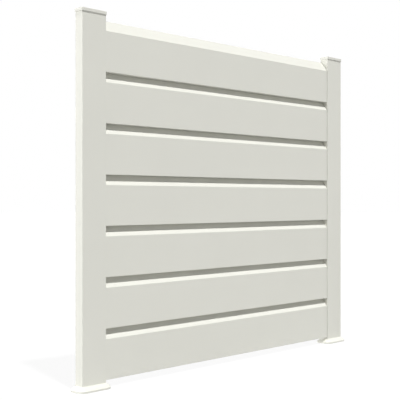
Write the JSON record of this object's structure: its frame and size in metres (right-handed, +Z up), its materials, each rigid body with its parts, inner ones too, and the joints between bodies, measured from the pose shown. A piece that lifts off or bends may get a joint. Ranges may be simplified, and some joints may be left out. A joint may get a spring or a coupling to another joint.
{
  "type": "pvc fence",
  "caption": "Louvred PVC fence bay: hollow slats with sloped tops stacked between flat posts, with flat caps, bevelled foot skirts and steel cores on bolt-down plates.",
  "frame": {"origin": "on the ground, under the middle of the bay", "axes": "+X along the bay to the right, -Y out of the front that the picture shows, +Z up"},
  "size_m": [1.846, 0.094, 1.581],
  "materials": {
    "extruded_pvc": "off-white PVC extrusion, satin, with faint draw lines",
    "moulded_pvc": "off-white moulded PVC, satin, very fine spark-eroded grain",
    "galvanised_steel": "hot-dip galvanised, dull grey with spangle",
    "mill_aluminium": "mill-finish aluminium extrusion",
    "stainless_steel": "plain stainless screws"
  },
  "bodies": {
    "root": {"left_post": "extruded_pvc", "right_post": "extruded_pvc", "slat_1": "extruded_pvc", "slat_2": "extruded_pvc", "slat_3": "extruded_pvc", "slat_4": "extruded_pvc", "slat_5": "extruded_pvc", "slat_6": "extruded_pvc", "slat_7": "extruded_pvc", "left_cap": "moulded_pvc", "right_cap": "moulded_pvc", "left_skirt": "moulded_pvc", "right_skirt": "moulded_pvc", "left_slat_plugs": "moulded_pvc", "right_slat_plugs": "moulded_pvc", "left_core": "galvanised_steel", "right_core": "galvanised_steel", "left_foot_plate": "galvanised_steel", "right_foot_plate": "galvanised_steel", "slat_stiffener_1": "mill_aluminium", "slat_stiffener_2": "mill_aluminium", "slat_stiffener_3": "mill_aluminium", "slat_stiffener_4": "mill_aluminium", "slat_stiffener_5": "mill_aluminium", "slat_stiffener_6": "mill_aluminium", "slat_stiffener_7": "mill_aluminium", "left_core_screws": "stainless_steel", "right_core_screws": "stainless_steel"}
  },
  "joints": []
}
